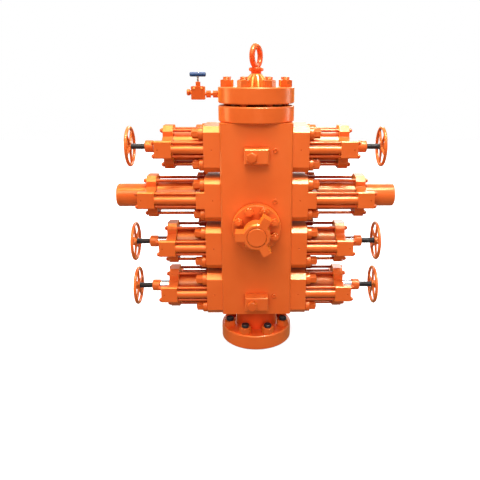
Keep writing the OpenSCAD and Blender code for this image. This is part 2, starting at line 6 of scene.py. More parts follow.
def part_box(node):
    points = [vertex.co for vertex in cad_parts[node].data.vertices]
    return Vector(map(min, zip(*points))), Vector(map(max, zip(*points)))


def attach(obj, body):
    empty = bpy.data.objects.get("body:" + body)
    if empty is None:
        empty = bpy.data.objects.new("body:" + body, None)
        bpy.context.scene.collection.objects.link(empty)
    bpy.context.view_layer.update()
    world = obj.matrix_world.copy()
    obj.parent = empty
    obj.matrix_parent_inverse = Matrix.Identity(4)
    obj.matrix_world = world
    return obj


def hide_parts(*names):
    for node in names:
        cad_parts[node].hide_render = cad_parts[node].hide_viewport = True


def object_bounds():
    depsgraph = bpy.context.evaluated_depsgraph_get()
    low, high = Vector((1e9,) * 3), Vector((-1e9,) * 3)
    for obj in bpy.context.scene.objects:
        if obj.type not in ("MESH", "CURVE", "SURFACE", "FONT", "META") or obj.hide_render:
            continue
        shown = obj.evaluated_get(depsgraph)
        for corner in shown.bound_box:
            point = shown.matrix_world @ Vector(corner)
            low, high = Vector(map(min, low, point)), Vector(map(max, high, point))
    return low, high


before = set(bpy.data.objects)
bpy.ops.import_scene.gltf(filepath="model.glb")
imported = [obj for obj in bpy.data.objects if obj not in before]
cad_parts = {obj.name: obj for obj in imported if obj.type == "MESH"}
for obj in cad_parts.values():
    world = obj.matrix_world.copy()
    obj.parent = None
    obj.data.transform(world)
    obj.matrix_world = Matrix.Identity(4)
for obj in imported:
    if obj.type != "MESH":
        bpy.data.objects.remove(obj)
cad_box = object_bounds()

# ---- Studio ----
# A white studio sweep: the camera stands a little over two metres in front of the stack, about
# level with its blind flange, and looks down fifteen degrees.
camera_place = Vector((-0.0157, -2.1671, 1.1843))
camera_down = math.radians(15.0)
# it is turned a shade to the right and leans a shade, both in radians
camera_right = 0.0200
camera_roll = 0.0030
camera_turn = (Matrix.Rotation(-camera_right, 3, "Z")
               @ Matrix.Rotation(math.radians(90) - camera_down, 3, "X")
               @ Matrix.Rotation(camera_roll, 3, "Z"))
bpy.ops.object.camera_add(location=camera_place, rotation=camera_turn.to_euler())
camera = bpy.context.object
camera.data.sensor_width = 36
camera.data.lens = 38.2
camera.data.shift_x = -0.0469
camera.data.shift_y = -0.0635
bpy.context.scene.camera = camera
bpy.context.scene.view_settings.view_transform = "Standard"


def srgb(code):
    """A colour written as a hexadecimal sRGB code, as linear red, green, blue and alpha."""
    parts = [int(code[i:i + 2], 16) / 255 for i in (1, 3, 5)]
    return [p / 12.92 if p <= 0.04045 else ((p + 0.055) / 1.055) ** 2.4 for p in parts] + [1.0]


def add_node(tree, kind, inputs=None, **settings):
    """A node of that kind in the tree, with its settings. inputs gives its sockets, by name or
    number, either an output to link from or a value."""
    made = tree.nodes.new(kind)
    for name, value in settings.items():
        setattr(made, name, value)
    for name, value in (inputs or {}).items():
        if isinstance(value, bpy.types.NodeSocket):
            tree.links.new(value, made.inputs[name])
        else:
            made.inputs[name].default_value = value
    return made


# The room is dim around the floor and bright above head height, so that glossy upright faces keep
# their colour and faces that look up carry a white sheen. Most of the light comes from softboxes.
world = bpy.data.worlds.new("white_studio")
bpy.context.scene.world = world
world.use_nodes = True
room = world.node_tree
room.nodes.clear()
ray = add_node(room, "ShaderNodeLightPath")
way = add_node(room, "ShaderNodeTexCoord")
up = add_node(room, "ShaderNodeSeparateXYZ", {0: way.outputs["Generated"]})
glow = add_node(room, "ShaderNodeMapRange", {"Value": up.outputs["Z"], "From Min": 0.02,
                                            "From Max": 0.3, "To Min": 0.04, "To Max": 0.5},
                interpolation_type="SMOOTHSTEP")
# reflections see the room twice as bright as the paint is lit by it
gloss = add_node(room, "ShaderNodeMath", {0: ray.outputs["Is Glossy Ray"], 1: 1.0, 2: 1.0},
                 operation="MULTIPLY_ADD")
level = add_node(room, "ShaderNodeMath", {0: glow.outputs[0], 1: gloss.outputs[0]},
                 operation="MULTIPLY")
walls = add_node(room, "ShaderNodeBackground", {"Color": srgb("#FFFFFF"),
                                               "Strength": level.outputs[0]})
seen = add_node(room, "ShaderNodeBackground", {"Color": srgb("#FFFFFF"), "Strength": 1.0})
both = add_node(room, "ShaderNodeMixShader", {0: ray.outputs["Is Camera Ray"],
                                             1: walls.outputs[0], 2: seen.outputs[0]})
add_node(room, "ShaderNodeOutputWorld", {"Surface": both.outputs[0]})

# A softbox lights the paint and shines in its gloss. The fill and the diffuser only light it, and
# the strips only shine in it: they brighten the faces that slope up and outward.
lamps_look_at = Vector((0, 0, 0.65))
for name, place, width, height, power, tint, lights in [
        ("high_front_softbox", (-1.0, -5.3, 5.2), 4.2, 2.6, 250, "#FFFFFF", "all"),
        ("low_front_fill", (0.2, -4.2, 0.4), 2.2, 0.6, 56, "#FFFFFF", "paint"),
        ("left_softbox", (-2.4, 0.3, 0.8), 0.7, 1.6, 22, "#FFDDA8", "all"),
        ("right_softbox", (2.4, 0.8, 0.8), 0.6, 1.6, 15, "#FFFFFF", "all"),
        ("overhead_diffuser", (-0.3, 0.0, 4.4), 3.0, 1.3, 290, "#FFFFFF", "paint"),
        ("overhead_right_softbox", (1.3, -1.05, 4.2), 2.3, 1.6, 45, "#FFFFFF", "all"),
        ("rear_softbox", (0.9, 4.4, 3.0), 3.0, 2.4, 160, "#FFFFFF", "all"),
        ("right_strip", (0.75, -1.1, 4.2), 1.1, 1.7, 400, "#FFFFFF", "gloss"),
        ("left_strip", (-0.75, -1.1, 4.2), 1.1, 1.7, 190, "#FFC478", "gloss")]:
    bpy.ops.object.light_add(type="AREA", location=place)
    lamp = bpy.context.object
    lamp.name = name
    lamp.data.shape = "RECTANGLE"
    lamp.data.size = width
    lamp.data.size_y = height
    lamp.data.energy = power
    lamp.data.color = srgb(tint)[:3]
    lamp.visible_glossy = lights != "paint"
    lamp.visible_diffuse = lights != "gloss"
    aim = lamps_look_at - Vector(place)
    lamp.rotation_euler = aim.to_track_quat("-Z", "Y").to_euler()

bpy.ops.mesh.primitive_plane_add(size=14, location=(0, 0, cad_box[0].z))
floor = bpy.context.object
floor.name = "floor"
paper = bpy.data.materials.new("matt_white_paper")
paper.use_nodes = True
sheet = paper.node_tree
sheet.nodes.clear()
ray = add_node(sheet, "ShaderNodeLightPath")
tone = add_node(sheet, "ShaderNodeMix", {0: ray.outputs["Is Camera Ray"], 6: srgb("#4A4A4A"),
                                        7: srgb("#B8B8B8")}, data_type="RGBA")
matt = add_node(sheet, "ShaderNodeBsdfDiffuse", {"Color": tone.outputs[2], "Roughness": 0.5})
# painted light: the floor glows for the camera, and a little in reflections, from 0.7 near the
# middle to 1 beyond 1.3 m, so that it runs into the white room
place = add_node(sheet, "ShaderNodeTexCoord").outputs["Object"]
out = add_node(sheet, "ShaderNodeVectorMath", {0: place}, operation="LENGTH")
away = add_node(sheet, "ShaderNodeMapRange", {"Value": out.outputs["Value"], "From Min": 0.3,
                                             "From Max": 1.3, "To Min": 0.7, "To Max": 1.0})
shown = add_node(sheet, "ShaderNodeMath", {0: ray.outputs["Is Glossy Ray"], 1: 0.15,
                                          2: ray.outputs["Is Camera Ray"]},
                 operation="MULTIPLY_ADD")
lift = add_node(sheet, "ShaderNodeMath", {0: shown.outputs[0], 1: away.outputs[0]},
                operation="MULTIPLY")
white = add_node(sheet, "ShaderNodeEmission", {"Color": srgb("#FFFFFF"),
                                              "Strength": lift.outputs[0]})
both = add_node(sheet, "ShaderNodeAddShader", {0: matt.outputs[0], 1: white.outputs[0]})
add_node(sheet, "ShaderNodeOutputMaterial", {"Surface": both.outputs[0]})
floor.data.materials.append(paper)

# ---- Ram body ----
# One forged low-alloy steel block, bored from end to end, milled on all sides and sprayed with
# two coats of gloss orange enamel. The cutter's corners are dressed by hand before painting.


def gloss_enamel(name, base="#DD6229", deep="#D55921", wave=0.03, wave_height=0.00025,
                 peel_height=0.00006, rough=0.28, painted_shade="#B81E06", open_to=0.62,
                 reach=0.05):
    """Sprayed alkyd enamel over steel: blotches a hand wide between base and deep, where the two
    coats differ, orange peel, and the swell of the ground under it, which is higher on castings.
    A place walled in on all sides within reach has the pooled colour painted on as shade, and one
    at least as open as open_to has none of it. Lengths are in metres; rough is the glossiest
    places' roughness."""
    made = bpy.data.materials.new(name)
    made.use_nodes = True
    paint = made.node_tree
    bsdf = paint.nodes["Principled BSDF"]
    place = add_node(paint, "ShaderNodeTexCoord").outputs["Object"]
    # the spray gun's passes, about 120 mm across, run softly into each other
    passes = add_node(paint, "ShaderNodeTexNoise", {"Vector": place, "Scale": 1 / 0.12,
                                                   "Detail": 2.0, "Roughness": 0.45})
    spread = add_node(paint, "ShaderNodeMapRange", {"Value": passes.outputs["Fac"],
                                                   "From Min": 0.2, "From Max": 0.8})
    tone = add_node(paint, "ShaderNodeMix", {0: spread.outputs[0], 6: srgb(deep), 7: srgb(base)},
                    data_type="RGBA")
    # painted shade: corners and hollows turn toward the pooled colour, the more walled in the more
    corner = add_node(paint, "ShaderNodeAmbientOcclusion", {"Distance": reach}, samples=6)
    depth = add_node(paint, "ShaderNodeMapRange", {"Value": corner.outputs["AO"],
                                                  "From Min": 0.15, "From Max": open_to})
    coats = add_node(paint, "ShaderNodeMix", {0: depth.outputs[0], 6: srgb(painted_shade),
                                             7: tone.outputs[2]}, data_type="RGBA")
    paint.links.new(coats.outputs[2], bsdf.inputs["Base Color"])
    # orange peel is 2 to 3 mm on such paint; it is drawn at 5 mm so that it shows
    peel = add_node(paint, "ShaderNodeTexNoise", {"Vector": place, "Scale": 1 / 0.005,
                                                 "Detail": 1.0})
    swell = add_node(paint, "ShaderNodeTexNoise", {"Vector": place, "Scale": 1 / wave,
                                                  "Detail": 2.0})
    skin = add_node(paint, "ShaderNodeBump", {"Strength": 1.0, "Distance": peel_height,
                                             "Height": peel.outputs["Fac"]})
    ground = add_node(paint, "ShaderNodeBump", {"Strength": 1.0, "Distance": wave_height,
                                               "Height": swell.outputs["Fac"],
                                               "Normal": skin.outputs[0]})
    paint.links.new(ground.outputs[0], bsdf.inputs["Normal"])
    # the passes hardly differ in gloss
    haze = add_node(paint, "ShaderNodeMapRange", {"Value": passes.outputs["Fac"],
                                                 "From Min": 0.2, "From Max": 0.8,
                                                 "To Min": rough, "To Max": rough + 0.03})
    paint.links.new(haze.outputs[0], bsdf.inputs["Roughness"])
    bsdf.inputs["IOR"].default_value = 1.55
    # the pigment shows through the gloss, so highlights are amber and not white
    bsdf.inputs["Specular Tint"].default_value = srgb("#FFD090")
    bsdf.inputs["Coat Weight"].default_value = 0.08
    bsdf.inputs["Coat Roughness"].default_value = 0.05
    # pigment near the surface scatters a yellower light back at low angles
    bsdf.inputs["Sheen Weight"].default_value = 0.5
    bsdf.inputs["Sheen Roughness"].default_value = 0.45
    bsdf.inputs["Sheen Tint"].default_value = srgb("#FFA62C")
    return made


def pick(*pieces):
    """Only these pieces selected, the first one active."""
    bpy.ops.object.select_all(action="DESELECT")
    for piece in pieces:
        piece.select_set(True)
    bpy.context.view_layer.objects.active = pieces[0]


def apply_all(piece):
    """The piece's modifiers applied, from the first to the last."""
    pick(piece)
    for modifier in list(piece.modifiers):
        bpy.ops.object.modifier_apply(modifier=modifier.name)


def fit(piece, name, finish, stands_for=(), slot="orange_enamel", body="stack"):
    """The piece named, brought to the origin with its place in its mesh, painted and fixed on."""
    pick(piece)
    bpy.ops.object.transform_apply(location=True, rotation=True, scale=True)
    piece.name = name
    piece.data.name = name
    piece.data.materials.clear()
    piece.data.materials.append(finish)
    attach(piece, body)
    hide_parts(*stands_for)
    return piece


def merged_copy(node):
    """A copy of a CAD piece's mesh in an object of its own, its loose triangles merged and its
    flat faces made whole."""
    piece = bpy.data.objects.new(node + "_copy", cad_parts[node].data.copy())
    bpy.context.collection.objects.link(piece)
    pick(piece)
    bpy.ops.object.mode_set(mode="EDIT")
    bpy.ops.mesh.select_all(action="SELECT")
    bpy.ops.mesh.remove_doubles(threshold=0.00001)
    bpy.ops.mesh.dissolve_limited(angle_limit=math.radians(0.5))
    bpy.ops.object.mode_set(mode="OBJECT")
    return piece


def add_bevel(piece, name, width, steps, angle):
    """A modifier on the piece that rounds its corners to that width, or chamfers them in one step,
    where they turn by more than that angle in degrees."""
    bevel = piece.modifiers.new(name, "BEVEL")
    bevel.width = width
    bevel.segments = steps
    bevel.limit_method = "ANGLE"
    bevel.angle_limit = math.radians(angle)
    return bevel


def dressed(node, radius, finish, **fitting):
    """A CAD piece with its corners rounded to that radius, as a file and the paint leave them."""
    piece = merged_copy(node)
    corner = 38
    bevel = add_bevel(piece, "dressed_corners", radius, 3, corner)
    even = piece.modifiers.new("flat_faces_stay_flat", "WEIGHTED_NORMAL")
    even.keep_sharp = True
    pick(piece)
    bpy.ops.object.modifier_apply(modifier=bevel.name)
    bpy.ops.object.shade_smooth_by_angle(angle=math.radians(corner))
    bpy.ops.object.modifier_apply(modifier=even.name)
    return fit(piece, node + "_dressed", finish, [node], **fitting)


milled_enamel = gloss_enamel("gloss_enamel_on_milled_steel", wave=0.06, wave_height=0.00016)
dressed("body_block", 0.003, milled_enamel)

# ---- Bottom flange ----
# The ring-joint flange that bolts to the wellhead: turned from a forging, drilled for eight studs
# and welded to the block by its neck. The weld is dressed to a fillet and painted with the rest.
turned_enamel = gloss_enamel("gloss_enamel_on_turned_steel", wave=0.045, wave_height=0.0001)
bottom_flange = dressed("bottom_flange", 0.0015, turned_enamel)
# painted shade: the flange's top and neck under the block, the weld and the eye's shank get a
# darker, redder enamel
shaded_red_enamel = gloss_enamel("gloss_enamel_painted_shade_red", base="#E04A1A", deep="#D84014",
                           wave=0.045, wave_height=0.0001, rough=0.46, painted_shade="#C22408")
bottom_flange.data.materials.append(shaded_red_enamel)
flange_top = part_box("bottom_nuts")[0].z
# the faces at its level or above, found to within a hair, are given the painted shade
hair = 0.0002
for face in bottom_flange.data.polygons:
    if face.center.z > flange_top - hair:
        face.material_index = 1

# the fillet is a ring let into both, its middle half a millimetre off the neck and the block
neck_r = 0.091
fillet_r = 0.0048
off = 0.0005
block_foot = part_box("body_block")[0].z
bpy.ops.mesh.primitive_torus_add(location=(0, 0, block_foot - off), major_radius=neck_r + off,
                                 minor_radius=fillet_r, major_segments=128, minor_segments=14)
weld = bpy.context.object
# each of the weld's 46 beads is pulled a little proud of the next
beads = 46
proud = 0.0005
for corner in weld.data.vertices:
    turn = math.atan2(corner.co.y, corner.co.x)
    corner.co.z += proud * math.sin(beads * turn)
bpy.ops.object.shade_smooth()
# the weld under the block is in the painted shade too
fit(weld, "neck_weld", shaded_red_enamel)

# ---- Studs and nuts of the flanges ----
# Alloy-steel studs with heavy hex nuts, forged and chamfered, run down on the flange and sprayed
# over. The bottom ones wear black plastic caps on their ends; the top ones are painted bare.
nut_enamel = gloss_enamel("gloss_enamel_on_forged_nuts", base="#D55B23", deep="#CC501C", wave=0.02,
                          wave_height=0.00005, peel_height=0.00002, rough=0.24)


def threaded_enamel(name, axis, pitch):
    """The same enamel over a thread: the paint half fills it, so each turn is a soft ring."""
    made = gloss_enamel(name, base="#DE6329", wave=0.02, wave_height=0.00005,
                        peel_height=0.00002, rough=0.24)
    paint = made.node_tree
    bsdf = paint.nodes["Principled BSDF"]
    ground = bsdf.inputs["Normal"].links[0].from_socket
    place = add_node(paint, "ShaderNodeTexCoord").outputs["Object"]
    # a wave's length is pi / 10 over its scale
    turns = add_node(paint, "ShaderNodeTexWave", {"Vector": place, "Scale": math.pi / 10 / pitch},
                     bands_direction=axis)
    ring_height = 0.0008
    rings = add_node(paint, "ShaderNodeBump", {"Strength": 1.0, "Distance": ring_height,
                                              "Height": turns.outputs["Fac"], "Normal": ground})
    paint.links.new(rings.outputs[0], bsdf.inputs["Normal"])
    return made


dressed("bottom_nuts", 0.0011, nut_enamel)
dressed("top_nuts", 0.0011, nut_enamel)
# 3.2 mm is the pitch of a 1 1/8 inch stud with eight threads to the inch
dressed("top_studs", 0.0012, threaded_enamel("gloss_enamel_on_flange_stud_thread", "Z", 0.0032))


def two_tone(name, dark, light, grain, detail, rough, ripple=0, metal=0, stretch=None):
    """A thin finish that wanders between two colours in grains of that size in metres, longer
    along the axes that stretch scales down. rough is its roughness, or the lowest and highest
    where that follows the grain too, and ripple is the height in metres of the grain itself."""
    made = bpy.data.materials.new(name)
    made.use_nodes = True
    skin = made.node_tree
    bsdf = skin.nodes["Principled BSDF"]
    place = add_node(skin, "ShaderNodeTexCoord").outputs["Object"]
    if stretch:
        place = add_node(skin, "ShaderNodeMapping", {"Vector": place, "Scale": stretch}).outputs[0]
    noise = add_node(skin, "ShaderNodeTexNoise", {"Vector": place, "Scale": 1 / grain,
                                                 "Detail": detail}).outputs["Fac"]
    tone = add_node(skin, "ShaderNodeMix", {0: noise, 6: srgb(dark), 7: srgb(light)},
                    data_type="RGBA")
    skin.links.new(tone.outputs[2], bsdf.inputs["Base Color"])
    bsdf.inputs["Metallic"].default_value = metal
    if isinstance(rough, tuple):
        matt = add_node(skin, "ShaderNodeMapRange", {"Value": noise, "To Min": rough[0],
                                                    "To Max": rough[1]})
        skin.links.new(matt.outputs[0], bsdf.inputs["Roughness"])
    else:
        bsdf.inputs["Roughness"].default_value = rough
    if ripple:
        bump = add_node(skin, "ShaderNodeBump", {"Strength": 1.0, "Distance": ripple,
                                                "Height": noise})
        skin.links.new(bump.outputs[0], bsdf.inputs["Normal"])
    return made


# black oxide: a thin dark conversion layer, matt and faintly brown where it is rubbed
oxide = two_tone("black_oxide_on_alloy_steel", "#101214", "#2C2B2A", grain=0.008, detail=3,
                 rough=(0.3, 0.55))
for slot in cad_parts["bottom_studs"].material_slots:
    slot.material = oxide


def edit_faces(piece, wanted):
    """The piece opened in edit mode, with only the faces selected that are wanted."""
    pick(piece)
    bpy.ops.object.mode_set(mode="EDIT")
    bpy.ops.mesh.select_mode(type="FACE")
    bpy.ops.mesh.select_all(action="DESELECT")
    bpy.ops.object.mode_set(mode="OBJECT")
    for face in piece.data.polygons:
        face.select = wanted(face)
    bpy.ops.object.mode_set(mode="EDIT")


def another(piece, place, turned=(0, 0, 0)):
    """A copy of the piece with a mesh of its own, at that place and turned by those angles."""
    one = piece.copy()
    one.data = piece.data.copy()
    one.location = place
    one.rotation_euler = turned
    bpy.context.collection.objects.link(one)
    return one


# vinyl cap: dipped plastic, near black, with a soft even sheen and a faint ripple
vinyl = two_tone("black_dipped_vinyl", "#0E1012", "#1D1F22", grain=0.006, detail=2, rough=0.32,
                 ripple=0.0002)
stud_circle_r = 0.1294
cap_r = 0.0166
# the crown stands this far over the stud's end
crown = 0.0016
cap_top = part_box("bottom_studs")[1].z + crown
nut_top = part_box("bottom_nuts")[1].z
bpy.ops.mesh.primitive_cylinder_add(vertices=40, radius=cap_r, depth=cap_top - nut_top,
                                    location=(0, 0, (cap_top + nut_top) / 2))
cap = bpy.context.object
bpy.ops.object.transform_apply(location=True)
edit_faces(cap, lambda face: face.normal.z > 0.9)
# the rim of the cap's crown is rounded, and the crown sinks a little inside it
bpy.ops.mesh.bevel(offset=0.0028, segments=4)
bpy.ops.object.mode_set(mode="OBJECT")
top = max(corner.co.z for corner in cap.data.vertices)
edit_faces(cap, lambda face: face.normal.z > 0.99 and face.center.z > top - 0.0001)
bpy.ops.mesh.inset(thickness=0.0022)
bpy.ops.transform.translate(value=(0, 0, -0.0009))
bpy.ops.mesh.inset(thickness=0.005)
bpy.ops.object.mode_set(mode="OBJECT")
bpy.ops.object.shade_smooth_by_angle(angle=math.radians(35))
for k in range(8):
    turn = math.radians(22.5 + 45 * k)
    spot = (stud_circle_r * math.cos(turn), stud_circle_r * math.sin(turn), 0)
    fit(another(cap, spot), f"stud_cap_{k + 1}", vinyl, slot="black_steel")
bpy.data.objects.remove(cap)

# ---- Top flange and blind flange ----
# The studded top of the block and the blank flange that closes it, both turned from forgings.
# They stand apart by the height of the ring gasket between them.
dressed("top_flange", 0.0015, turned_enamel)
dressed("blind_flange", 0.0015, turned_enamel)

# The soft-iron ring gasket sits half in each flange's groove and is bare, with a dull brown bloom.
soft_iron = two_tone("soft_iron_gasket", "#2B2522", "#40362F", grain=0.01, detail=3,
                     rough=(0.35, 0.6), metal=1)
groove_r = 0.06685
ring_bar_r = 0.0078
joint_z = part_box("blind_flange")[0].z
bpy.ops.mesh.primitive_torus_add(location=(0, 0, joint_z), major_radius=groove_r,
                                 minor_radius=ring_bar_r, major_segments=96, minor_segments=8)
gasket = bpy.context.object
bpy.ops.object.shade_smooth_by_angle(angle=math.radians(30))
fit(gasket, "ring_gasket", soft_iron, slot="bare_steel")

# ---- Lifting boss and eye ----
# A post with a crown of welded gusset ribs on the blind flange, and a drop-forged eye bolt
# screwed down on it. Castings and forgings both have every inside corner filled.


def run_together(piece, grain, rounds):
    """The piece's solids run into one skin, with every corner rounded, as a mould or a die leaves
    them. grain is the skin's mesh size in metres."""
    skin = piece.modifiers.new("one_skin", "REMESH")
    skin.mode = "VOXEL"
    skin.voxel_size = grain
    soften = piece.modifiers.new("rounded", "SMOOTH")
    soften.factor = 0.5
    soften.iterations = rounds
    apply_all(piece)
    bpy.ops.object.shade_smooth()


forged_enamel = gloss_enamel("gloss_enamel_on_forging", base="#D95220", deep="#CE4416", wave=0.014,
                             wave_height=0.00004, peel_height=0.00001, rough=0.24,
                             painted_shade="#C43A12")
# painted highlight: the gusset crown and the valve's button screws are in a pale amber enamel that
# stands in for the light on them
pale_highlight_enamel = gloss_enamel("gloss_enamel_painted_highlight", base="#F3B060", deep="#EEA24C",
                           wave=0.02, wave_height=0.00005, peel_height=0.00002, rough=0.24,
                           painted_shade="#E48A36")
dressed("eye_boss", 0.0009, pale_highlight_enamel)
eye = merged_copy("lifting_eye")
run_together(eye, grain=0.0008, rounds=3)
fit(eye, "forged_eye_bolt", forged_enamel, ["lifting_eye"])
# the shank under the collar sits in its shadow, which is painted on it as the darker, redder enamel
eye.data.materials.append(shaded_red_enamel)
shank = 0.0078
collar_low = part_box("lifting_eye")[0].z + shank
for face in eye.data.polygons:
    if face.center.z < collar_low:
        face.material_index = 1

# ---- Side outlet ----
# A studded side flange with a hammer union screwed to it: a turned hub, a cast wing nut with
# three lugs to strike, and a plug that closes the line.
dressed("side_flange", 0.0026, turned_enamel)
dressed("side_studs", 0.0008, threaded_enamel("gloss_enamel_on_outlet_stud_thread", "Y", 0.0025))
dressed("union_hub", 0.001, turned_enamel)
cast_enamel = gloss_enamel("gloss_enamel_on_casting", base="#DE6429", wave=0.011,
                           wave_height=0.00012, peel_height=0.00003, rough=0.24)
dressed("wing_nut", 0.003, cast_enamel)
dressed("union_plug", 0.0032, turned_enamel)

# ---- Port blocks and plugs ----
# Two milled blocks bolted to the front over the body's hydraulic ports. The upper is closed by a
# hex plug, the lower by a round one; three smaller plugs close test ports beside them.
dressed("upper_port_block", 0.0014, milled_enamel)
dressed("lower_port_block", 0.0014, milled_enamel)
block_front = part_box("upper_port_block")[0].y
body_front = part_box("body_block")[0].y
row_height = {row: (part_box(f"bonnets_row_{row}")[0].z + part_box(f"bonnets_row_{row}")[1].z) / 2
              for row in (1, 2, 3, 4)}


def stub(sides, radius, length, foot, rim, steps, socket=None):
    """A bar that stands out to the front from its foot. Its front edge is cut back by rim, in one
    step for a chamfer or more for a round. socket is a blind hole's distance from the edge of the
    front face and its depth."""
    bpy.ops.mesh.primitive_cylinder_add(vertices=sides, radius=radius, depth=length,
                                        location=(foot[0], foot[1] - length / 2, foot[2]),
                                        rotation=(math.radians(90), 0, 0))
    made = bpy.context.object
    bpy.ops.object.transform_apply(location=True, rotation=True)

    def in_front(face):
        return face.normal.y < -0.99 and abs(face.center.y - foot[1] + length) < 0.0001

    edit_faces(made, in_front)
    bpy.ops.mesh.bevel(offset=rim, segments=steps)
    bpy.ops.object.mode_set(mode="OBJECT")
    if socket:
        edit_faces(made, in_front)
        bpy.ops.mesh.inset(thickness=socket[0])
        bpy.ops.mesh.extrude_region_move(TRANSFORM_OT_translate={"value": (0, socket[1], 0)})
        bpy.ops.object.mode_set(mode="OBJECT")
    return made


upper_z = (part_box("upper_port_block")[0].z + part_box("upper_port_block")[1].z) / 2
lower_z = (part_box("lower_port_block")[0].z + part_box("lower_port_block")[1].z) / 2
plug_x = -0.019
plug_drop = 0.002
across = 0.041
# the hex plug: a hexagon 41 mm across flats with its front corners chamfered all round
plugs = [stub(6, across / math.sqrt(3), 0.014, (plug_x, block_front, upper_z - plug_drop),
              rim=0.0042, steps=1)]
# the round plug: 41 mm across and 20 mm long, with a turned edge
plugs.append(stub(96, across / 2, 0.020, (plug_x, block_front, lower_z - plug_drop),
                  rim=0.0022, steps=1))
# the test-port plugs: 21 mm heads, each with a round recess for a pin key
test_port_x = 0.077
for row in (1, 2, 4):
    plugs.append(stub(48, 0.0105, 0.006, (test_port_x, body_front, row_height[row]),
                      rim=0.0024, steps=3, socket=(0.0028, 0.0026)))
pick(*plugs)
bpy.ops.object.join()
joined = bpy.context.object
add_bevel(joined, "dressed_corners", 0.0005, 2, 28)
apply_all(joined)
bpy.ops.object.shade_smooth_by_angle(angle=math.radians(30))
fit(joined, "port_plugs_turned", nut_enamel, ["port_plugs"])

# ---- Bonnets ----
# Heavy milled doors over the ram cavities, one each side of each row, held by four studs. The
# second row's are deeper, for the shear rams.
for row in (1, 2, 3, 4):
    dressed(f"bonnets_row_{row}", 0.0022, milled_enamel)
dressed("bonnet_nuts", 0.0008, nut_enamel)

# A tapered drain nipple hangs under each of the top two doors, near its outer front corner.
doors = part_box("bonnets_row_1")
nipple_x = 0.206
nipple_y = -0.086
# half a millimetre of its 10 mm is let into the door
nipple_z = doors[0].z - 0.0045
for side, sign in (("left", -1), ("right", 1)):
    bpy.ops.mesh.primitive_cone_add(vertices=32, radius1=0.0032, radius2=0.0068, depth=0.010,
                                    location=(sign * nipple_x, nipple_y, nipple_z))
    nipple = bpy.context.object
    bpy.ops.object.transform_apply(location=True)
    edit_faces(nipple, lambda face: face.normal.z < -0.9)
    # its open end has a rounded lip round a blind bore
    bpy.ops.mesh.bevel(offset=0.0008, segments=2)
    bpy.ops.object.mode_set(mode="OBJECT")
    low = min(corner.co.z for corner in nipple.data.vertices)
    edit_faces(nipple, lambda face: face.normal.z < -0.99 and face.center.z < low + 0.0001)
    bpy.ops.mesh.inset(thickness=0.0007)
    bpy.ops.mesh.extrude_region_move(TRANSFORM_OT_translate={"value": (0, 0, 0.003)})
    bpy.ops.object.mode_set(mode="OBJECT")
    bpy.ops.object.shade_smooth_by_angle(angle=math.radians(35))
    fit(nipple, f"drain_nipple_{side}", nut_enamel)

# ---- Ram actuators ----
# Honed steel cylinders clamped between bonnet and end cap by tie rods, with a transfer tube on
# each side that takes the oil across. All is painted after it is put together.
# painted shade: the tubes darken toward deep red wherever they are walled in within 160 mm
tube_enamel = gloss_enamel("gloss_enamel_on_drawn_tube", wave=0.06, wave_height=0.00001,
                           peel_height=0.000004, rough=0.24, painted_shade="#A01606", open_to=0.85,
                           reach=0.16)
dressed("ram_cylinders", 0.0008, tube_enamel)
dressed("transfer_tubes", 0.0006, tube_enamel)
# painted shade: the tie rods' enamel is a darker, redder copy of the tubes', for the shade of the
# rows above
shaded_rod_enamel = gloss_enamel("gloss_enamel_on_ground_rod_painted_shade", base="#D24E1E", deep="#C84416", wave=0.06,
                          wave_height=0.00001, peel_height=0.000004, rough=0.22,
                          painted_shade="#A01606", open_to=0.85, reach=0.16)
dressed("tie_rods", 0.0006, shaded_rod_enamel)
# painted shade: the caps darken toward deep red where walled in within 140 mm
cap_enamel = gloss_enamel("gloss_enamel_on_milled_caps", wave=0.06, wave_height=0.00016,
                          painted_shade="#B01A08", open_to=0.8, reach=0.14)
for row in (1, 2, 3, 4):
    dressed(f"end_caps_row_{row}", 0.0016, cap_enamel)
dressed("tail_cylinders", 0.0018, tube_enamel)

# ---- Set screws ----
# A small socket set screw locks each bonnet's and each end cap's oil passage. It sits just below
# the surface and is sprayed over with the rest, which half fills its socket.
bpy.ops.mesh.primitive_cylinder_add(vertices=24, radius=0.0034, depth=0.003)
screw = bpy.context.object
edit_faces(screw, lambda face: face.normal.z > 0.9)
bpy.ops.mesh.inset(thickness=0.0005)
bpy.ops.mesh.inset(thickness=0.0009)
bpy.ops.mesh.extrude_region_move(TRANSFORM_OT_translate={"value": (0, 0, -0.0018)})
bpy.ops.object.mode_set(mode="OBJECT")
bpy.ops.object.shade_smooth_by_angle(angle=math.radians(35))
bonnet_port_x = 0.182
cap_port_inset = 0.014
# the middle of the screw's 3 mm, so that its head is 0.7 mm below the surface
screw_sunk = 0.0022
for row in (1, 2, 3, 4):
    doors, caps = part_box(f"bonnets_row_{row}"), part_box(f"end_caps_row_{row}")
    height = (doors[0].z + doors[1].z) / 2
    for side, sign in (("left", -1), ("right", 1)):
        for part, x in (("bonnet", bonnet_port_x), ("end_cap", caps[1].x - cap_port_inset)):
            one = another(screw, (sign * x, doors[0].y + screw_sunk, height),
                          (math.radians(90), 0, 0))
            fit(one, f"set_screw_{part}_{side}_{row}", nut_enamel)
bpy.data.objects.remove(screw)

# ---- Manual locks ----
# On rows 1, 3 and 4 a screw runs in through each end cap behind the ram. Its sleeve is hard-chromed
# and left bare; the collar beyond it is painted.

# hard chrome: grinding leaves fine rings round the sleeve, drawn 0.8 mm apart
chrome = two_tone("hard_chrome_plate", "#B4B8BC", "#D8DADC", grain=0.0008, detail=2,
                  rough=(0.08, 0.2), metal=1, stretch=(1, 0.02, 0.02))
dressed("lock_sleeves", 0.0008, chrome, slot="polished_steel")
dressed("lock_collars", 0.0012, turned_enamel)

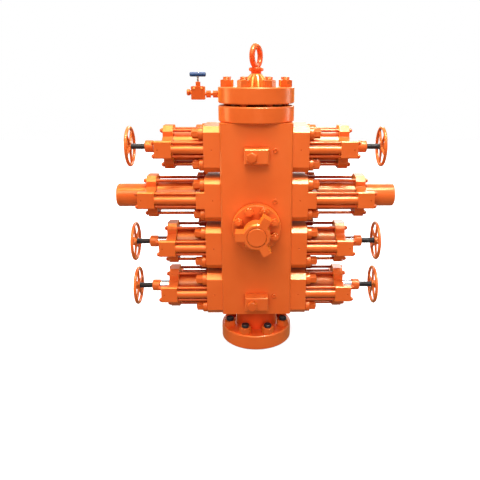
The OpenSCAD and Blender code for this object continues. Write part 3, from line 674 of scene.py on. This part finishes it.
# ---- Lock screws ----
# Alloy-steel screws with a coarse thread of 5 mm pitch, black-oxided and oiled. Each is a core
# with a helical ridge wound on it; the ends are chamfered.
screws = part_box("lock_screw_right_1")
screw_out_r = (screws[1].y - screws[0].y) / 2
thread_depth = 0.0017
core_r = screw_out_r - thread_depth
pitch = 0.005
length = screws[1].x - screws[0].x
bpy.ops.mesh.primitive_cylinder_add(vertices=48, radius=core_r, depth=length,
                                    location=(screws[0].x + length / 2, 0, 0),
                                    rotation=(0, math.radians(90), 0))
core = bpy.context.object
bpy.ops.object.transform_apply(location=True, rotation=True)
add_bevel(core, "chamfered_ends", 0.0015, 1, 60)
apply_all(core)
# the ridge is a triangle wound along the core, in whole turns, at least 4 mm short of its ends
run_out = 0.004
turns = int((length - 2 * run_out) / pitch)
bpy.ops.mesh.primitive_circle_add(vertices=3, radius=0.0027, fill_type="NOTHING",
                                  location=(screws[0].x + run_out, 0, core_r),
                                  rotation=(math.radians(90), 0, 0))
ridge = bpy.context.object
bpy.ops.object.transform_apply(location=True, rotation=True)
# its root is sunk into the core, and its crest stays just inside the CAD's radius
root_r = core_r - 0.0003
crest_r = screw_out_r - 0.00005
top = max(corner.co.z for corner in ridge.data.vertices)
low = min(corner.co.z for corner in ridge.data.vertices)
for corner in ridge.data.vertices:
    corner.co.z = root_r + (corner.co.z - low) / (top - low) * (crest_r - root_r)
wind = ridge.modifiers.new("thread", "SCREW")
wind.axis = "X"
wind.angle = 2 * math.pi
wind.screw_offset = pitch
wind.iterations = turns
wind.steps = wind.render_steps = 20
wind.use_merge_vertices = True
apply_all(ridge)
bpy.ops.object.mode_set(mode="EDIT")
bpy.ops.mesh.select_all(action="SELECT")
bpy.ops.mesh.remove_doubles(threshold=0.00001)
bpy.ops.mesh.select_all(action="DESELECT")
bpy.ops.mesh.select_mode(type="EDGE")
bpy.ops.mesh.select_non_manifold()
bpy.ops.mesh.fill_holes(sides=4)
bpy.ops.mesh.select_all(action="SELECT")
bpy.ops.mesh.normals_make_consistent(inside=False)
bpy.ops.object.mode_set(mode="OBJECT")
pick(core, ridge)
bpy.ops.object.join()
bpy.ops.object.shade_smooth_by_angle(angle=math.radians(30))
for side, facing in (("left", math.pi), ("right", 0)):
    for row in (1, 3, 4):
        node = f"lock_screw_{side}_{row}"
        # the left-hand screws are the same ones turned end for end
        height = (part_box(node)[0].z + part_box(node)[1].z) / 2
        one = another(core, (0, 0, height), (0, 0, facing))
        fit(one, f"threaded_screw_{side}_{row}", oxide, [node], slot="black_steel", body=node)
bpy.data.objects.remove(core)

# ---- Handwheels ----
# Cast-iron wheels with a round rim, five spokes that taper from the hub, and a bored hub pinned
# on its screw. Each has stopped where its last turn left it.
wheel_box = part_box("handwheel_right_1")
wheel_r = (wheel_box[1].z - wheel_box[0].z) / 2
rim_bar_r = 0.007
rim_r = wheel_r - rim_bar_r
hub_in = wheel_box[0].x
hub_out = wheel_box[1].x
hub_r = 0.018
bore_r = 0.0129
wheel_x = hub_in + rim_bar_r
bpy.ops.mesh.primitive_torus_add(location=(wheel_x, 0, 0), rotation=(0, math.radians(90), 0),
                                 major_radius=rim_r, minor_radius=rim_bar_r,
                                 major_segments=96, minor_segments=20)
rim = bpy.context.object
bpy.ops.mesh.primitive_cylinder_add(vertices=64, radius=hub_r, depth=hub_out - hub_in,
                                    location=((hub_in + hub_out) / 2, 0, 0),
                                    rotation=(0, math.radians(90), 0))
hub = bpy.context.object
bpy.ops.object.transform_apply(location=True, rotation=True)
edit_faces(hub, lambda face: abs(face.normal.x) > 0.9)
# both ends are inset to the bore, and the bore is bridged through
bpy.ops.mesh.inset(thickness=hub_r - bore_r)
bpy.ops.mesh.bridge_edge_loops()
bpy.ops.object.mode_set(mode="OBJECT")
spokes = []
# the spokes start inside the hub's wall
spoke_in = 0.0155
for k in range(5):
    turn = math.radians(90 + 72 * k)
    way_out = Vector((0, math.cos(turn), math.sin(turn)))
    middle = Vector((wheel_x, 0, 0)) + way_out * (spoke_in + rim_r) / 2
    bpy.ops.mesh.primitive_cone_add(vertices=24, radius1=0.0062, radius2=0.0044,
                                    depth=rim_r - spoke_in, location=middle,
                                    rotation=way_out.to_track_quat("Z", "Y").to_euler())
    spokes.append(bpy.context.object)
pick(rim, hub, *spokes)
bpy.ops.object.join()
bpy.ops.object.transform_apply(location=True, rotation=True, scale=True)
bpy.ops.object.mode_set(mode="EDIT")
bpy.ops.mesh.select_all(action="SELECT")
bpy.ops.mesh.normals_make_consistent(inside=False)
bpy.ops.object.mode_set(mode="OBJECT")
run_together(rim, grain=0.0016, rounds=5)
for side, sign, facing in (("left", -1, math.pi), ("right", 1, 0)):
    for row in (1, 3, 4):
        node = f"handwheel_{side}_{row}"
        # the wheels have stopped 16 degrees further on for each row down
        rest = math.radians(-14 - 16 * row) * sign
        turned = Matrix.Rotation(facing, 3, "Z") @ Matrix.Rotation(rest, 3, "X")
        height = (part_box(node)[0].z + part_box(node)[1].z) / 2
        one = another(rim, (0, 0, height), turned.to_euler())
        fit(one, f"cast_handwheel_{side}_{row}", cast_enamel, [node], body=node)
bpy.data.objects.remove(rim)

# ---- Needle valve ----
# A bar-stock bleed valve screwed into the blind flange's rim: milled body, hex nipple, end plug
# and packing gland, painted with the stack.
small_enamel = gloss_enamel("gloss_enamel_on_bar_stock", base="#C9521E", deep="#C24A18", wave=0.015,
                            wave_height=0.0001, rough=0.24)
dressed("valve_nipple", 0.0008, small_enamel)
dressed("valve_body", 0.0012, small_enamel)
dressed("valve_end_plug", 0.001, small_enamel)
dressed("valve_gland", 0.0006, small_enamel)

# Two button-head screws hold the packing plate to the body, one each side of the stem.
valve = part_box("valve_body")
stem_x = (valve[0].x + valve[1].x) / 2
button_apart = 0.0155
button_drop = 0.0085
let_in = 0.0005
for side, sign in (("left", -1), ("right", 1)):
    foot = (stem_x + sign * button_apart, valve[0].y + let_in, valve[1].z - button_drop)
    button = stub(32, 0.0042, 0.003, foot, rim=0.0017, steps=4, socket=(0.0009, 0.0014))
    bpy.ops.object.shade_smooth_by_angle(angle=math.radians(40))
    # painted highlight: the screw heads are in the pale amber enamel
    fit(button, f"valve_button_screw_{side}", pale_highlight_enamel)

# The stem is ground stainless steel, with fine rings round it, and the handle a turned bar.
stainless = two_tone("ground_stainless_steel", "#B4B6B9", "#D6D8DA", grain=0.0006, detail=2,
                     rough=(0.2, 0.38), metal=1, stretch=(0.05, 0.05, 1))
dressed("valve_stem", 0.0005, stainless, slot="bare_steel", body="valve_stem")
# satin blue paint: one thin even coat that hardly shines
blue = two_tone("satin_blue_paint", "#0F3157", "#163F6B", grain=0.01, detail=3, rough=0.6,
                ripple=0.00004)
blue.node_tree.nodes["Principled BSDF"].inputs["Specular IOR Level"].default_value = 0.3
dressed("tee_handle", 0.0012, blue, slot="blue_paint", body="tee_handle")
